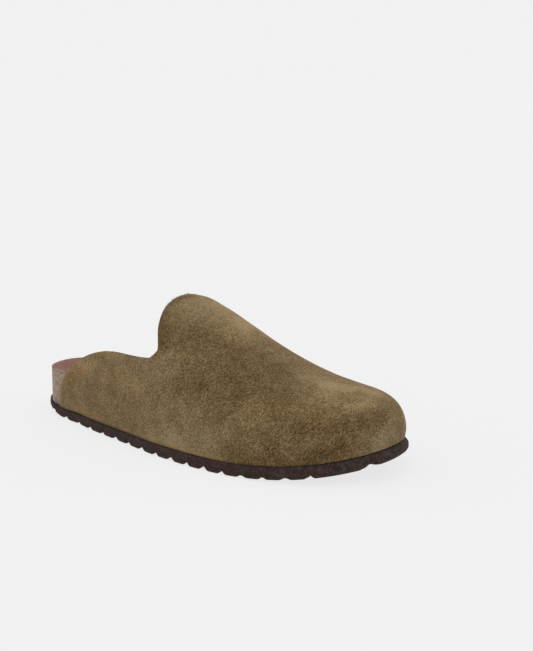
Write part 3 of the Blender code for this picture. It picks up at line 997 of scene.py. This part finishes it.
LINING_GAP = 0.1
LINING_THICKNESS = 0.6
LINING_DEEP = (0.105, 0.028, 0.013)
LINING_RED = (0.215, 0.066, 0.034)
LINING_ROUGHNESS = (0.5, 0.7)
LINING_CLOUDS_PER_METRE = 60.0
LINING_PORES_PER_METRE = 1500.0


def lining_leather():
    """Smooth reddish leather with fine pores and a low gloss."""
    finish, tree, shader = new_finish("lining_leather", 0.6, Specular_IOR_Level=0.3)
    where = put(tree, "ShaderNodeTexCoord").outputs["Object"]
    cloud = clouds(tree, where, LINING_CLOUDS_PER_METRE, 5.0)
    colour = blend(tree, spread(tree, cloud, *CLOUD_RANGE), LINING_DEEP, LINING_RED)
    tree.links.new(colour, shader.inputs["Base Color"])
    tree.links.new(spread(tree, cloud, *CLOUD_RANGE, *LINING_ROUGHNESS), shader.inputs["Roughness"])
    pores = put(tree, "ShaderNodeTexVoronoi", {"Vector": where, "Scale": LINING_PORES_PER_METRE})
    emboss(tree, shader, pores.outputs["Distance"], strength=0.3, depth=0.0001)
    return finish


lining_mesh = upper_sheet(SUEDE_THICKNESS + LINING_GAP)
lining = finish_piece("leather_lining", lining_mesh, [lining_leather()])
lining_wall = lining.modifiers.new("lining_thickness", "SOLIDIFY")
lining_wall.thickness = LINING_THICKNESS * MM
lining_wall.offset = -1

# Edge fibres
# Loose fibres that stand out of the suede's raw edge, longest on top of the tongue. Cutting has freed
# their tips, and their roots are still in the suede.

FIBRE_COUNT = 1400
FIBRE_LENGTH = (0.35, 1.0)
FIBRE_RADIUS = 0.08
FIBRE_ROOT = 0.2
FIBRE_RISE = 0.9
FIBRE_LEAN = 0.55
FIBRE_SPAN = (0.05, 0.95)
TONGUE_FIBRES = (60.0, 80.0)
FIBRE_SIDES = 3
FIBRE_SEED = 11
STEP_INSIDE = 0.012
STEP_BESIDE = 0.002


def edge_fibre(dice):
    """Corners of one tapered fibre that leaves the free edge at a random place and leans a random way."""
    across = dice.uniform(*FIBRE_SPAN)
    edge = upper_surface(0.0, across)
    inside = upper_surface(STEP_INSIDE, across)
    beside = upper_surface(0.0, across + STEP_BESIDE) - upper_surface(0.0, across - STEP_BESIDE)
    out = (edge - inside).normalized()
    over = out.cross(beside).normalized()
    if over.dot(edge - place(LENGTH / 2, 0, 0)) < 0:
        over.negate()
    climb = upper_spot(0.0, across)[1]
    up = min(climb, 180 - climb)
    sunk = dice.random() * SUEDE_THICKNESS + TONGUE_ROLL * ease(*TONGUE_CLIMB, up)
    root = edge - over * sunk * MM - out * FIBRE_ROOT * MM
    lean = Vector([dice.uniform(-1, 1) for axis in range(3)]) * FIBRE_LEAN
    top = ease(*TONGUE_FIBRES, up)
    length = dice.uniform(*FIBRE_LENGTH) * (1 + top) + FIBRE_ROOT
    tip = root + (out + over * FIBRE_RISE * top + lean).normalized() * length * MM
    ring = []
    for k in range(FIBRE_SIDES):
        turn = 2 * math.pi * k / FIBRE_SIDES
        spoke = beside.normalized() * math.cos(turn) + over * math.sin(turn)
        ring.append(root + spoke * FIBRE_RADIUS * MM)
    return [*ring, tip]


dice = random.Random(FIBRE_SEED)
fibre_corners = []
fibre_faces = []
for k in range(FIBRE_COUNT):
    start = len(fibre_corners)
    fibre_corners += edge_fibre(dice)
    fibre_faces.append([start + side for side in reversed(range(FIBRE_SIDES))])
    for side in range(FIBRE_SIDES):
        fibre_faces.append([start + side, start + (side + 1) % FIBRE_SIDES, start + FIBRE_SIDES])
fibre_mesh = bpy.data.meshes.new("edge_fibres")
fibre_mesh.from_pydata(fibre_corners, [], fibre_faces)
fibre_bm = bmesh.new()
fibre_bm.from_mesh(fibre_mesh)
bpy.data.meshes.remove(fibre_mesh)
finish_piece("edge_fibres", fibre_bm, [suede_edge])

# Studio
# A pale light table that glows, so that the floor has next to no shadow, under two broad soft lights
# in a pale room, and the camera at the photograph's angle.

TABLE_SIZE = 8.0
TABLE_COLOUR = (0.12, 0.12, 0.12, 1.0)
WHITE = (1.0, 1.0, 1.0, 1.0)
TABLE_GLOW = 0.767
TABLE_BOUNCE = 0.62
BACKDROP = 0.88
ROOM_LIGHT = 0.35

# Soft lights: where each one comes from, its strength, and how wide it is as seen from the shoe
SoftLight = namedtuple("SoftLight", "name towards strength spread")
SOFT_LIGHTS = (
    SoftLight("key", (-0.75, -0.55, 0.85), 1.25, 90.0),
    SoftLight("top", (0.55, 0.30, 1.0), 1.25, 90.0),
)

table_bm = bmesh.new()
bmesh.ops.create_grid(table_bm, x_segments=1, y_segments=1, size=TABLE_SIZE)
table_mesh = bpy.data.meshes.new("light_table")
table_bm.to_mesh(table_mesh)
table_bm.free()
table = bpy.data.objects.new("light_table", table_mesh)
bpy.context.scene.collection.objects.link(table)
table_finish, table_tree, table_shader = new_finish(
    "milky_glass",
    0.9,
    Base_Color=TABLE_COLOUR,
    Specular_IOR_Level=0.0,
    Emission_Color=WHITE,
)
table_seen = put(table_tree, "ShaderNodeLightPath").outputs["Is Camera Ray"]
table_glow = spread(table_tree, table_seen, 0.0, 1.0, TABLE_BOUNCE, TABLE_GLOW)
table_tree.links.new(table_glow, table_shader.inputs["Emission Strength"])
table_mesh.materials.append(table_finish)

world = bpy.data.worlds.new("studio")
world.use_nodes = True
seen = put(world.node_tree, "ShaderNodeLightPath").outputs["Is Camera Ray"]
brightness = spread(world.node_tree, seen, 0.0, 1.0, ROOM_LIGHT, BACKDROP)
room = world.node_tree.nodes["Background"]
room.inputs["Color"].default_value = WHITE
world.node_tree.links.new(brightness, room.inputs["Strength"])
bpy.context.scene.world = world

for soft_light in SOFT_LIGHTS:
    lamp = bpy.data.lights.new(soft_light.name, "SUN")
    lamp.energy = soft_light.strength
    lamp.angle = math.radians(soft_light.spread)
    stand = bpy.data.objects.new(soft_light.name, lamp)
    stand.rotation_euler = Vector(soft_light.towards).to_track_quat("Z", "Y").to_euler()
    bpy.context.scene.collection.objects.link(stand)
bpy.context.scene.view_settings.view_transform = "Standard"

VIEW_AZIMUTH = math.radians(36.5)
VIEW_ELEVATION = math.radians(12.85)
VIEW_DISTANCE = 0.8
VIEW_LENS = 66.07
VIEW_SENSOR = 36.0
VIEW_AIM_HEIGHT = 0.040
VIEW_AIM_RIGHT = 0.0383
VIEW_AIM_UP = 0.0367

camera = bpy.data.objects.new("camera", bpy.data.cameras.new("camera"))
camera.data.lens = VIEW_LENS
camera.data.sensor_width = VIEW_SENSOR
right = Vector((math.cos(VIEW_AZIMUTH), math.sin(VIEW_AZIMUTH), 0))
back = Vector((
    math.sin(VIEW_AZIMUTH) * math.cos(VIEW_ELEVATION),
    -math.cos(VIEW_AZIMUTH) * math.cos(VIEW_ELEVATION),
    math.sin(VIEW_ELEVATION),
))
up = back.cross(right)
camera.location = (
    Vector((0, 0, VIEW_AIM_HEIGHT)) + back * VIEW_DISTANCE + right * VIEW_AIM_RIGHT + up * VIEW_AIM_UP
)
camera.rotation_euler = back.to_track_quat("Z", "Y").to_euler()
bpy.context.scene.collection.objects.link(camera)
bpy.context.scene.camera = camera
